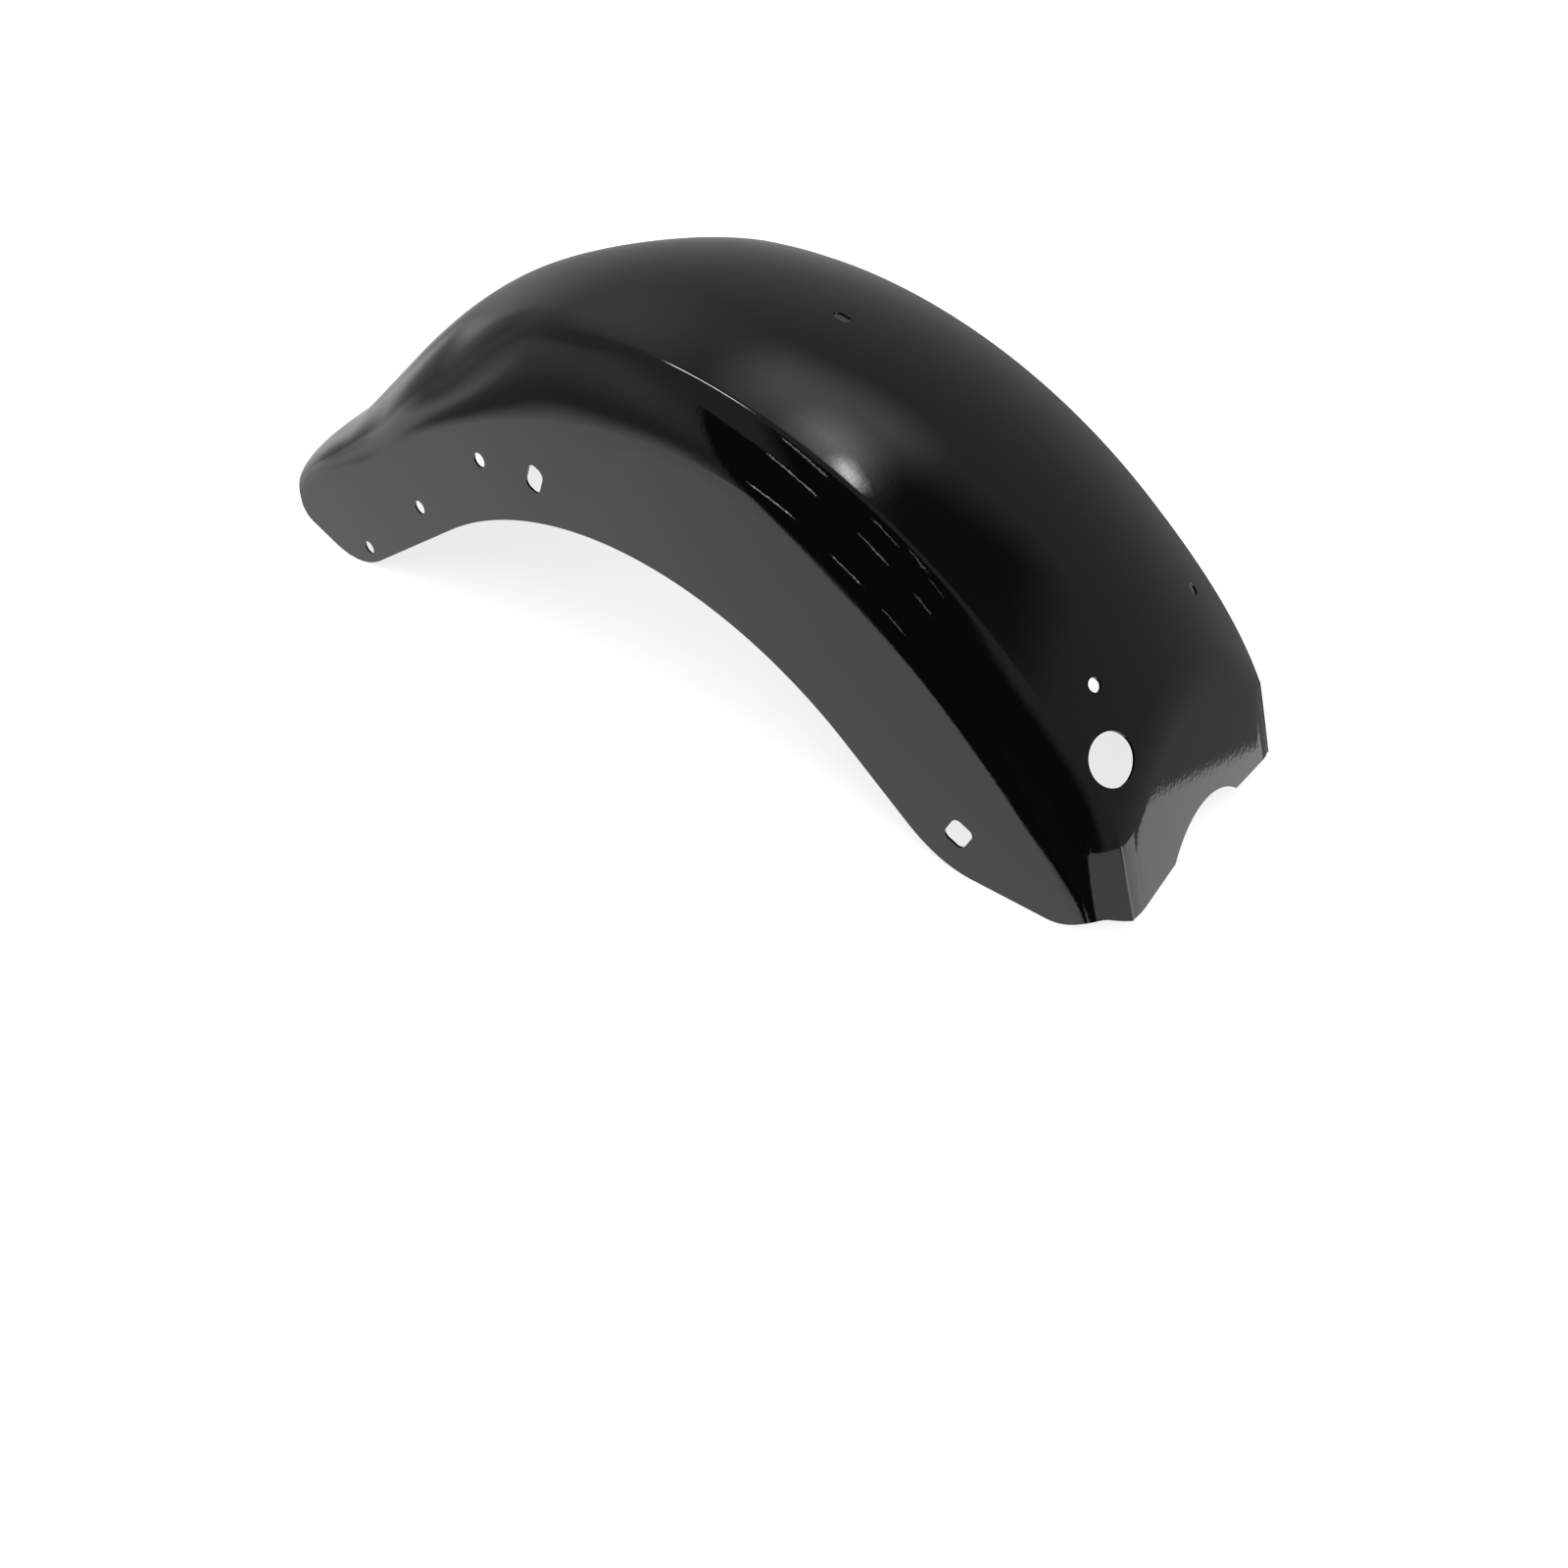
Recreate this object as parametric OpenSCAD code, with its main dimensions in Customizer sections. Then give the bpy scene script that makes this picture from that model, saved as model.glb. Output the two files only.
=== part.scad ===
// Rear fender of a small motorcycle, pressed from one steel sheet.
// +X points to the tail, +Y to the rider's right and +Z up. The fender stands on its two
// front lobes and on the level stretch of its tail, and the origin is under its middle.
// Inside, everything is measured from the wheel's axle: x back, z up, and angles from
// straight up, positive toward the tail.

/* [Overall size] */
// Width across the flat side walls
width = 200; // [180:1:240]
// Front edge, ahead of the axle
front_reach = 335.6; // [325:0.1:350]
// Lower edge of the tail panel, behind the axle
tail_reach = 356.5; // [350:0.1:370]
// Height of the standing feet above the axle
foot_height = 173.4; // [168:0.1:178]
// Thickness of the sheet
sheet = 1.5; // [1:0.1:2.5]

/* [Wheel arch of the side walls] */
// Radius of the walls' lower edge round the axle
arch_radius = 287; // [275:1:300]
// Angle where the lower edge leaves the arch for the front lobe
arch_front = -32.3; // [-35:0.1:-30]
// Angle where the lower edge leaves the arch for the tail
arch_tail = 38.1; // [36:0.1:40]

/* [Front lobes] */
// Radius of the lobe's rounded foot
lobe_radius = 62; // [45:1:75]
// Rise of the lobe's lower edge toward the front, in degrees
lobe_rise = 22.9; // [18:0.1:28]
// Radius of the corner at the front edge
front_corner = 15; // [5:1:20]

/* [Tail foot] */
// Radius where the walls' lower edge turns level
tail_turn = 73; // [50:1:90]
// Length of the rising edge between the level foot and the tail panel
foot_rise_length = 22.5; // [16:0.5:30]
// Radius at the end of the level foot
foot_corner = 28; // [10:1:35]
// Distance from the tail panel's lower edge forward to the rising edge
panel_edge_depth = 13; // [8:0.5:18]
// Height of the tail panel's lower edge above the feet
panel_edge = 16.5; // [12:0.5:22]

/* [Crown] */
// Radius of the crown's ridge round the axle
crown_radius = 426.4; // [420:0.1:435]
// Radius of the crease that parts crown and shoulder
crease_radius = 409.6; // [404:0.1:413]
// Distance of the crease from the middle plane, taken from the wall
crease_inset = 12.6; // [8:0.1:18]
// Extra radius of the crease near the tail
crease_lift = 3; // [0:0.1:4]
// Drop of the ridge into the saddle in front
saddle_drop = 16; // [8:0.5:20]
// Angle of the saddle's lowest point
saddle_angle = -33; // [-38:1:-28]
// Rise of the ridge from the saddle to the front lip
lip_rise = 11; // [4:0.5:14]

/* [Shoulder] */
// Radius where wall and shoulder meet, ahead of the crease
shoulder_radius = 356; // [345:1:362]
// How much higher they meet beside the crease
shoulder_lift = 9; // [4:1:12]
// How much higher again at the tail
shoulder_tail_lift = 10; // [0:1:14]
// How much higher at the front lip
shoulder_lip_lift = 41; // [30:1:44]
// Fullness of the round front section
front_fullness = 0.41; // [0.35:0.01:0.5]
// Extra fullness at the front lip
lip_fullness = 0.19; // [0:0.01:0.25]

/* [Tail panel] */
// Tilt of the flat panel from upright
panel_kick = 20; // [16:0.5:24]
// Softness of the fold between crown and panel
panel_fold = 5; // [2:0.5:8]
// Width of the cut-out in the panel's lower edge
cutout_width = 79; // [50:1:90]
// Height of the cut-out above the panel's edge at its sides
cutout_rise = 14.5; // [8:0.5:20]
// How much higher the panel's edge is beside the cut-out than at its corners
edge_bow = 3.8; // [0:0.1:5]

/* [Wall holes] */
// Foremost bracket hole: behind the front edge, and above the feet
bracket_start = [78, 17.3]; // [15:0.1:90]
// Distance from one bracket hole to the next
bracket_pitch = 94.2; // [85:0.1:98]
// Rise of the bracket holes' line toward the tail, in degrees
bracket_rise = 38.3; // [36:0.1:40]
// Radius of the bracket holes
bracket_hole = 4.9; // [3:0.1:7]
// Middle of the front oblong hole: behind the front edge, and above the feet
front_slot_place = [276.1, 137.6]; // [130:0.1:285]
// Length and width of the front oblong hole
front_slot = [17.8, 12.6]; // [10:0.1:20]
// Middle of the rear squarish hole: ahead of the tail panel's edge, and above the feet
rear_slot_place = [102.2, 27.8]; // [25:0.1:110]
// Length and width of the rear squarish hole
rear_slot = [16.6, 14.2]; // [10:0.1:20]
// Lean of both holes' long side from level, in degrees
slot_lean = 66; // [50:1:80]

/* [Crown holes] */
// Distance of the two small holes ahead of the fold over the tail panel
tail_hole_setback = 35; // [20:0.5:60]
// Distance between the two small holes
tail_hole_spacing = 113; // [90:1:120]
// Radius of the two small holes
tail_hole = 3.9; // [2.5:0.1:6]
// Distance of the large lead hole on the left behind the fold's start
lead_hole_setback = 1.5; // [-25:0.1:3]
// Distance of the lead hole from the middle plane
lead_hole_offset = 70; // [60:1:72]
// Radius of the lead hole
lead_hole = 14.3; // [8:0.1:15]
// Angle of the seat screw's hole on the ridge
seat_hole_angle = 12.7; // [8:0.1:18]
// Length and width of the seat screw's hole
seat_slot = [11, 7]; // [5:0.5:16]

/* [Hidden] */
$fn = 64;
half = width / 2;
crease_y = half - crease_inset;
wall_foot = arch_radius - 20;

// Tail panel: distance of its plane from the axle, and the direction where the ridge meets it
panel_distance = tail_reach * cos(panel_kick) + (foot_height + panel_edge) * sin(panel_kick);
fold_angle = asin(min(1, panel_distance / crown_radius)) - panel_kick;

// Directions of the first and the last section, both just outside the trimmed edge
lip_angle = -atan2(front_reach, foot_height);
tail_angle = atan2(tail_reach, foot_height + panel_edge) + 2;

// Directions between which the form changes
saddle_start = 2;
crease_fade = [-3, -25];
crease_lift_span = [fold_angle - 12, fold_angle + 3];
shoulder_lift_span = [-20, 8];
shoulder_tail_span = [fold_angle, fold_angle + 10];
lip_start = saddle_angle - 3;
lip_full = lip_angle * 0.9;
crease_margin = 0.6;
shoulder_share = 0.37;

// Fineness of the sheet's grid and of the trimmed edge
main_steps = 36;
fold_steps = 8;
end_steps = 3;
fold_reach = [4, 8];
shoulder_steps = 6;
crown_steps = 9;
edge_step = 6;
arc_steps = 8;
slot_round = [5, 4];

// Eased share of the way from a to b, from 0 to 1
function ease(a, b, x) = let (t = min(1, max(0, (x - a) / (b - a)))) t * t * (3 - 2 * t);

// Smaller of two values, blended softly where they are within k of each other
function soft_min(a, b, k) = let (s = max(k - abs(a - b), 0) / k) min(a, b) - s * s * k / 4;

// Radius of the tail panel's flat plane in the direction a
function panel_radius(a) = panel_distance / sin(max(a, 0) + panel_kick);

// Radius of the ridge, of the crease and of the shoulder's start in the direction a
function ridge(a) = crown_radius - saddle_drop * ease(saddle_start, saddle_angle, a)
    + lip_rise * ease(saddle_angle, lip_angle, a);
function crease(a) = min(panel_radius(a) - crease_margin,
    crease_radius + crease_lift * ease(crease_lift_span[0], crease_lift_span[1], a));
function shoulder(a) = shoulder_radius
    + shoulder_lift * ease(shoulder_lift_span[0], shoulder_lift_span[1], a)
    + shoulder_tail_lift * ease(shoulder_tail_span[0], shoulder_tail_span[1], a)
    + shoulder_lip_lift * ease(lip_start, lip_angle, a);

// Half sections as lists of [distance from the middle plane, radius], from the wall inward.
// The creased one is a round shoulder up to the crease and a shallow crown behind it.
function creased_half(a) =
    let (low = shoulder(a), high = crease(a), tilt = 2 * atan((half - crease_y) / (high - low)),
        bend = (high - low) / sin(tilt), rise = ridge(a) - high)
    concat(
        [for (i = [0:shoulder_steps]) let (t = tilt * i / shoulder_steps)
            [half - bend * (1 - cos(t)), low + bend * sin(t)]],
        [for (i = [1:crown_steps]) let (s = 1 - i / crown_steps)
            [crease_y * s, soft_min(high + rise * (1 - s * s), panel_radius(a), panel_fold)]]);

// The round one is a single curve from the upright wall to the level ridge
function round_half(a, places) =
    let (low = shoulder(a), rise = ridge(a) - low,
        full = front_fullness + lip_fullness * ease(lip_start, lip_full, a))
    [for (t = places) let (s = 1 - t)
        [half * (s * s * s + 3 * s * s * t + 3 * s * t * t * full),
            low + rise * (3 * s * s * t * full + 3 * s * t * t + t * t * t)]];

// Share of the way along a half section where each of its points lies
places = concat([for (i = [0:shoulder_steps]) shoulder_share * i / shoulder_steps],
    [for (i = [1:crown_steps]) shoulder_share + (1 - shoulder_share) * i / crown_steps]);

function half_section(a) =
    let (w = ease(crease_fade[0], crease_fade[1], a), p = creased_half(a), q = round_half(a, places))
    concat([[half, wall_foot]], [for (i = [0:len(p) - 1]) p[i] * (1 - w) + q[i] * w]);

// Whole section from the left wall's foot over the ridge to the right wall's foot
function section(a) = let (s = half_section(a), n = len(s))
    concat([for (p = s) [-p[0], p[1]]], [for (i = [n - 2:-1:0]) s[i]]);

// Directions of the sections, closer together at the fold over the tail panel
function spread(a, b, n) = [for (i = [0:n - 1]) a + (b - a) * i / n];
fold_start = min(fold_angle - fold_reach[0], tail_angle - fold_reach[0] - fold_reach[1]);
fold_end = min(fold_angle + fold_reach[1], tail_angle - 1);
stations = concat(spread(lip_angle, fold_start, main_steps), spread(fold_start, fold_end, fold_steps),
    spread(fold_end, tail_angle, end_steps), [tail_angle]);

outer = [for (a = stations) [for (p = section(a)) [p[1] * sin(a), p[0], p[1] * cos(a)]]];
rows = len(outer);
columns = len(outer[0]);

function unit(v) = v / norm(v);

// Outward direction of the sheet at a point of the grid
function outward(i, j) =
    let (before = j == columns - 2 ? j : max(j - 1, 0), after = j == 1 ? j : min(j + 1, columns - 1),
        along = outer[min(i + 1, rows - 1)][j] - outer[max(i - 1, 0)][j],
        across = outer[i][after] - outer[i][before])
    unit(cross(along, across));

inner = [for (i = [0:rows - 1]) [for (j = [0:columns - 1]) outer[i][j] - sheet * outward(i, j)]];

// Sheet between the outer and the inner skin, with its four edges closed
module pressed_sheet() {
    size = rows * columns;
    points = [for (skin = [outer, inner]) for (row = skin) each row];
    skins = [for (i = [0:rows - 2]) for (j = [0:columns - 2])
        let (a = i * columns + j, b = a + columns)
        each [[a, a + 1, b + 1], [a, b + 1, b], [size + a, size + b + 1, size + a + 1],
            [size + a, size + b, size + b + 1]]];
    feet = [for (i = [0:rows - 2]) let (a = i * columns, b = a + columns)
        each [[a, b, size + b], [a, size + b, size + a],
            [a + columns - 1, size + b + columns - 1, b + columns - 1],
            [a + columns - 1, size + a + columns - 1, size + b + columns - 1]]];
    last = (rows - 1) * columns;
    ends = [for (j = [0:columns - 2])
        each [[j, size + j + 1, j + 1], [j, size + j, size + j + 1],
            [last + j, last + j + 1, size + last + j + 1],
            [last + j, size + last + j + 1, size + last + j]]];
    polyhedron(points, concat(skins, feet, ends));
}

// Arc of radius r that rounds the corner b between its neighbours a and c
function corner_arc(a, b, c, r) =
    let (u = unit(a - b), v = unit(c - b), open = acos(u * v) / 2,
        centre = b + unit(u + v) * r / sin(open), from = b + u * r / tan(open) - centre,
        to = b + v * r / tan(open) - centre, first = atan2(from[1], from[0]),
        turn = (atan2(to[1], to[0]) - first + 540) % 360 - 180)
    [for (i = [0:arc_steps]) centre + r * [cos(first + turn * i / arc_steps),
        sin(first + turn * i / arc_steps)]];

// Closed outline through corners of the form [x, z, radius]
function rounded(corners) = let (n = len(corners))
    [for (i = [0:n - 1]) let (c = corners[i], p = corners[(i + n - 1) % n], q = corners[(i + 1) % n])
        each c[2] == 0 ? [[c[0], c[1]]]
            : corner_arc([p[0], p[1]], [c[0], c[1]], [q[0], q[1]], c[2])];

// Larger of two values, blended softly where they are within k of each other
function soft_max(a, b, k) = -soft_min(-a, -b, k);

// Softness that rounds the meeting of two lines of slopes a and b, in degrees, to a radius
function softness(radius, a, b) =
    abs(tan(a) - tan(b)) * radius * tan(abs(a - b) / 2) * (cos(a) + cos(b)) / 2;

// Lower edge over the wheel: a true arc, with straight tangents beyond its two ends
function arch_edge(x) = let (a = asin(max(-1, min(1, x / arch_radius))),
        end = max(arch_front, min(arch_tail, a)))
    (arch_radius - x * sin(end)) / cos(end);

// Lower edge of the front lobe, whose rounded foot just touches the standing height
lobe_soft = softness(lobe_radius, -arch_front, -lobe_rise);
lobe_slopes = [tan(-arch_front), tan(lobe_rise)];
lobe_lean = pow((lobe_slopes[0] - lobe_slopes[1]) / (2 * (lobe_slopes[0] + lobe_slopes[1])), 2);
toe_z = foot_height - lobe_soft * (1 / 4 - lobe_lean);
toe_x = (arch_radius - toe_z * cos(arch_front)) / sin(arch_front);
function lobe_edge(x) = soft_max(arch_edge(x), toe_z - tan(lobe_rise) * (x - toe_x), lobe_soft);

// Lower edge of the tail: down from the arch, level along the foot and up to the panel
foot_rise = atan(panel_edge / foot_rise_length);
foot_end = tail_reach - panel_edge_depth - foot_rise_length;
function foot_edge(x) = soft_max(foot_height, soft_min(foot_height + panel_edge,
    foot_height + (x - foot_end) * tan(foot_rise), 2), softness(foot_corner, foot_rise, 0));
function tail_edge(x) = soft_max(arch_edge(x), foot_edge(x), softness(tail_turn, -arch_tail, 0));

function lower_edge(x) = x < 0 ? lobe_edge(x) : tail_edge(x);

// Side view of the fender, open above: front edge, lobe, wheel arch, tail foot and panel edge
module side_outline() {
    above = crown_radius + 60;
    behind = crown_radius + 20;
    nose = [-front_reach, lower_edge(-front_reach)];
    start = -front_reach + 1.5 * front_corner;
    steps = ceil((behind - start) / edge_step);
    along = [for (i = [0:steps]) start + (behind - start) * i / steps];
    rotate([90, 0, 0])
        linear_extrude(width + 20, center = true)
            polygon(concat([[-front_reach, above]],
                corner_arc([-front_reach, above], nose, [start, lower_edge(start)], front_corner),
                [for (x = along) [x, lower_edge(x)]], [[behind, above]]));
}

// Cut-out in the panel's lower edge, with the edge rising a little toward it
module tail_cutout() {
    side = cutout_width / 2;
    bend = (side * side + cutout_rise * cutout_rise) / (2 * cutout_rise);
    edge = foot_height + panel_edge;
    top = edge + edge_bow + cutout_rise;
    fall = edge_bow * (half - crease_y) / (crease_y - side);
    translate([tail_reach - 30, 0, 0]) rotate([90, 0, 90]) linear_extrude(60) {
        polygon([[-half, edge - fall], [-side, edge + edge_bow], [side, edge + edge_bow],
            [half, edge - fall]]);
        translate([0, top - bend]) circle(bend);
    }
}

// Hole through both walls at a place given as [back from the axle, up]
module through_walls(place) {
    translate([place[0], 0, place[1]]) rotate([90, 0, 0]) children();
}

module slot_outline(slot, round) {
    polygon(rounded([for (c = [[1, 1], [1, -1], [-1, -1], [-1, 1]])
        [c[0] * slot[0] / 2, c[1] * slot[1] / 2, round]]));
}

module wall_holes() {
    nose = [-front_reach, foot_height];
    for (i = [0:2])
        through_walls(nose + bracket_start + i * bracket_pitch * [cos(bracket_rise), sin(bracket_rise)])
            cylinder(width + 20, bracket_hole, bracket_hole, center = true);
    through_walls(nose + front_slot_place) rotate([0, 0, slot_lean])
        linear_extrude(width + 20, center = true) slot_outline(front_slot, slot_round[0]);
    through_walls([tail_reach - rear_slot_place[0], foot_height + rear_slot_place[1]])
        rotate([0, 0, slot_lean])
            linear_extrude(width + 20, center = true) slot_outline(rear_slot, slot_round[1]);
}

// Hole through the crown in the direction a, at a distance from the middle plane
module through_crown(a, offset_y) {
    rotate([0, a, 0]) translate([0, offset_y, crown_radius - 40]) children();
}

// Direction of a point of the ridge, a distance ahead of the fold over the tail panel
function before_fold(distance) = fold_angle - distance / crown_radius * 180 / PI;

module crown_holes() {
    for (side = [-1, 1])
        through_crown(before_fold(tail_hole_setback), side * tail_hole_spacing / 2)
            cylinder(60, tail_hole, tail_hole);
    through_crown(before_fold(-lead_hole_setback), -lead_hole_offset) cylinder(60, lead_hole, lead_hole);
    through_crown(seat_hole_angle, 0)
        linear_extrude(60) slot_outline(seat_slot, min(seat_slot) / 2.1);
}

module fender() {
    color([0.07, 0.07, 0.075])
        translate([(front_reach - tail_reach) / 2, 0, -foot_height])
            difference() {
                intersection() {
                    pressed_sheet();
                    side_outline();
                }
                tail_cutout();
                wall_holes();
                crown_holes();
            }
}

fender();
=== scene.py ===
import math

import bmesh
import bpy
from mathutils import Matrix, Vector


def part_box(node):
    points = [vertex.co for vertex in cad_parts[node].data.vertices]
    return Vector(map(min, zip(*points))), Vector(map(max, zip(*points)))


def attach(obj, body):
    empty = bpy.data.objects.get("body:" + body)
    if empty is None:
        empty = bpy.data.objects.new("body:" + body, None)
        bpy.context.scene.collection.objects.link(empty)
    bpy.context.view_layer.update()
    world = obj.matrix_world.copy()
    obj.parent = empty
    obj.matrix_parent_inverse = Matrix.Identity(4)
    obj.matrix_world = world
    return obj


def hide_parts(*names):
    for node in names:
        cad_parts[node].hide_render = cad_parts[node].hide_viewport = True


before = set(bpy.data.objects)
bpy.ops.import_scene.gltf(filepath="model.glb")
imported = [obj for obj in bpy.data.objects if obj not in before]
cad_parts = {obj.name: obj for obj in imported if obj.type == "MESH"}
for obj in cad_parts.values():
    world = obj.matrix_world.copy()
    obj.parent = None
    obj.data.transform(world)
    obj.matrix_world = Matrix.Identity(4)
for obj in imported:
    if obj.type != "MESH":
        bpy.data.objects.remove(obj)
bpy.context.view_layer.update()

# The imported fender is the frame: its box and its axle give every size below a place.
# The axle of the wheel under the fender is the point that the sizes are measured from, in metres.
cad_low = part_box("fender")[0]
FRONT_REACH = 0.3356
FOOT_HEIGHT = 0.1734
AXLE_X = cad_low.x + FRONT_REACH
AXLE_Z = cad_low.z - FOOT_HEIGHT

# The camera stands to the fender's left and behind its middle, and looks down on it.
# Its place is given from the axle, and its lens for the photograph's full square frame.
CAMERA_PLACE = (AXLE_X + 0.49464, -0.55455, AXLE_Z + 0.67986)
CAMERA_TURN = 38.492
CAMERA_DIP = 41.191
FOCAL_PIXELS = 1303.04
PHOTO_PIXELS = 1600
SENSOR_MM = 36
CAMERA_NEAR = 0.02
CAMERA_FAR = 60

camera_data = bpy.data.cameras.new("camera")
camera_data.sensor_width = SENSOR_MM
camera_data.lens = FOCAL_PIXELS / PHOTO_PIXELS * SENSOR_MM
camera_data.clip_start = CAMERA_NEAR
camera_data.clip_end = CAMERA_FAR
camera = bpy.data.objects.new("camera", camera_data)
camera.location = CAMERA_PLACE
camera.rotation_euler = (math.radians(90 - CAMERA_DIP), 0, math.radians(CAMERA_TURN))
bpy.context.scene.collection.objects.link(camera)
bpy.context.scene.camera = camera
bpy.context.scene.view_settings.view_transform = "Standard"

# Pressed fender: one steel sheet 1.5 mm thick, drawn over a form, trimmed and pierced.
# A grid follows the press form: flat walls, round shoulders, a crease and a shallow crown.
# Every length is in metres, and every angle in degrees from straight up over the axle.
HALF_WIDTH = 0.1
SHEET = 0.0015
TAIL_REACH = 0.3565
ARCH_RADIUS = 0.287
CROWN_RADIUS = 0.4264
CREASE_RADIUS = 0.4096
CREASE_INSET = 0.0126
CREASE_LIFT = 0.003
CREASE_MARGIN = 0.0006
SADDLE_DROP = 0.0202
SADDLE_ANGLE = -45
SADDLE_START = 2
LIP_RISE = 0.0294
LIP_START = -36
LIP_FULL = -56
SHOULDER_RADIUS = 0.350
SHOULDER_LIFT = 0.015
SHOULDER_LIFT_SPAN = (-5, 16)
SHOULDER_TAIL_LIFT = 0.010
SHOULDER_LIP_LIFT = 0.049
FULLNESS = (0.59, 0.27)
FULLNESS_LIP = 0.063
PANEL_KICK = 20
PANEL_FOLD = 0.005
PANEL_EDGE = 0.0165
CREASE_FADE = (-3, -25)
SHOULDER_SHARE = 0.37
FORM_MARGIN = 2

CREASE_Y = HALF_WIDTH - CREASE_INSET
KICK = math.radians(PANEL_KICK)
PANEL_DISTANCE = TAIL_REACH * math.cos(KICK) + (FOOT_HEIGHT + PANEL_EDGE) * math.sin(KICK)
FOLD_ANGLE = math.degrees(math.asin(PANEL_DISTANCE / CROWN_RADIUS)) - PANEL_KICK
LIP_ANGLE = -math.degrees(math.atan2(FRONT_REACH, FOOT_HEIGHT))
TAIL_ANGLE = math.degrees(math.atan2(TAIL_REACH, FOOT_HEIGHT + PANEL_EDGE)) + FORM_MARGIN
CREASE_LIFT_SPAN = (FOLD_ANGLE - 12, FOLD_ANGLE + 3)
SHOULDER_TAIL_SPAN = (FOLD_ANGLE, FOLD_ANGLE + 10)
FORM_FOOT = ARCH_RADIUS - 0.02
FOLD_SPAN = (FOLD_ANGLE - 1.2, FOLD_ANGLE + 8)
ROUND_SHARE = 0.009
ROUND_FRONT = 0.09
ROUND_CHANGE = (10, -10)
ROUND_SAMPLES = 6


def ease(start, end, value):
    t = min(1, max(0, (value - start) / (end - start)))
    return t * t * (3 - 2 * t)


def soft_min(a, b, k):
    s = max(k - abs(a - b), 0) / k
    return min(a, b) - s * s * k / 4


def panel_radius(angle):
    return PANEL_DISTANCE / math.sin(math.radians(max(angle, 0) + PANEL_KICK))


def ridge(angle):
    drop = SADDLE_DROP * ease(SADDLE_START, SADDLE_ANGLE, angle)
    return CROWN_RADIUS - drop + LIP_RISE * ease(SADDLE_ANGLE, LIP_ANGLE, angle)


def crease(angle):
    lift = CREASE_LIFT * ease(*CREASE_LIFT_SPAN, angle)
    return min(CREASE_RADIUS + lift, panel_radius(angle) - CREASE_MARGIN)


def shoulder(angle):
    lift = SHOULDER_LIFT * ease(*SHOULDER_LIFT_SPAN, angle)
    tail = SHOULDER_TAIL_LIFT * ease(*SHOULDER_TAIL_SPAN, angle)
    lip = SHOULDER_LIP_LIFT * ease(LIP_START, LIP_ANGLE, angle)
    return SHOULDER_RADIUS + lift + tail + lip


def creased_point(angle, along):
    low, high = shoulder(angle), crease(angle)
    tilt = 2 * math.atan((HALF_WIDTH - CREASE_Y) / (high - low))
    bend = (high - low) / math.sin(tilt)
    if along <= SHOULDER_SHARE:
        t = tilt * along / SHOULDER_SHARE
        return HALF_WIDTH - bend * (1 - math.cos(t)), low + bend * math.sin(t)
    s = 1 - (along - SHOULDER_SHARE) / (1 - SHOULDER_SHARE)
    crown = high + (ridge(angle) - high) * (1 - s * s)
    return CREASE_Y * s, soft_min(crown, panel_radius(angle), PANEL_FOLD)


def round_point(angle, t):
    low = shoulder(angle)
    rise = ridge(angle) - low
    lip = FULLNESS_LIP * ease(LIP_START, LIP_FULL, angle)
    upright, flat = [full + lip for full in FULLNESS]
    s = 1 - t
    y = HALF_WIDTH * (s**3 + 3 * s * s * t + 3 * s * t * t * flat)
    return y, low + rise * (3 * s * s * t * upright + 3 * s * t * t + t**3)


def round_axle(radius, angle, y):
    turn = math.radians(angle)
    return Vector((AXLE_X + radius * math.sin(turn), y, AXLE_Z + radius * math.cos(turn)))


def sheet_point(angle, along):
    """Outside of the sheet, along from -1 at the left wall's top to 1 at the right one's."""
    if abs(along) > 1:
        radius = shoulder(angle) + (FORM_FOOT - shoulder(angle)) * (abs(along) - 1)
        return round_axle(radius, angle, math.copysign(HALF_WIDTH, along))
    share = 1 - abs(along)
    creased = creased_point(angle, share)
    smooth = round_point(angle, share)
    w = ease(*CREASE_FADE, angle)
    y = creased[0] * (1 - w) + smooth[0] * w
    radius = creased[1] * (1 - w) + smooth[1] * w
    return round_axle(radius, angle, math.copysign(y, along))


def form_point(angle, along):
    """Place on the press form, which rounds the crease: tightly at the tail, softly in front."""
    reach = ROUND_SHARE + (ROUND_FRONT - ROUND_SHARE) * ease(*ROUND_CHANGE, angle)
    steps = range(-ROUND_SAMPLES, ROUND_SAMPLES + 1)
    near = [sheet_point(angle, along + reach * i / ROUND_SAMPLES) for i in steps]
    return sum(near, Vector()) / len(near)


def spread(start, end, count):
    return [start + (end - start) * i / count for i in range(count)]


def object_of(name, shape):
    """Object over a finished shape, not yet in the scene."""
    mesh = bpy.data.meshes.new(name)
    shape.to_mesh(mesh)
    shape.free()
    return bpy.data.objects.new(name, mesh)


# Rows run from the lip to the tail, close together at the fold, where the sheet bends most.
# Columns run from wall foot to wall foot, close together at the crease and at each wall's top.
MAIN_STEPS = 170
FOLD_STEPS = 64
END_STEPS = 12
CROWN_STEPS = 26
CREASE_STEPS = 16
SHOULDER_STEPS = 24
WALL_TOP = 1.12
WALL_TOP_STEPS = 6
WALL_STEPS = 3
MERGE_DISTANCE = 0.00001

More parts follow.
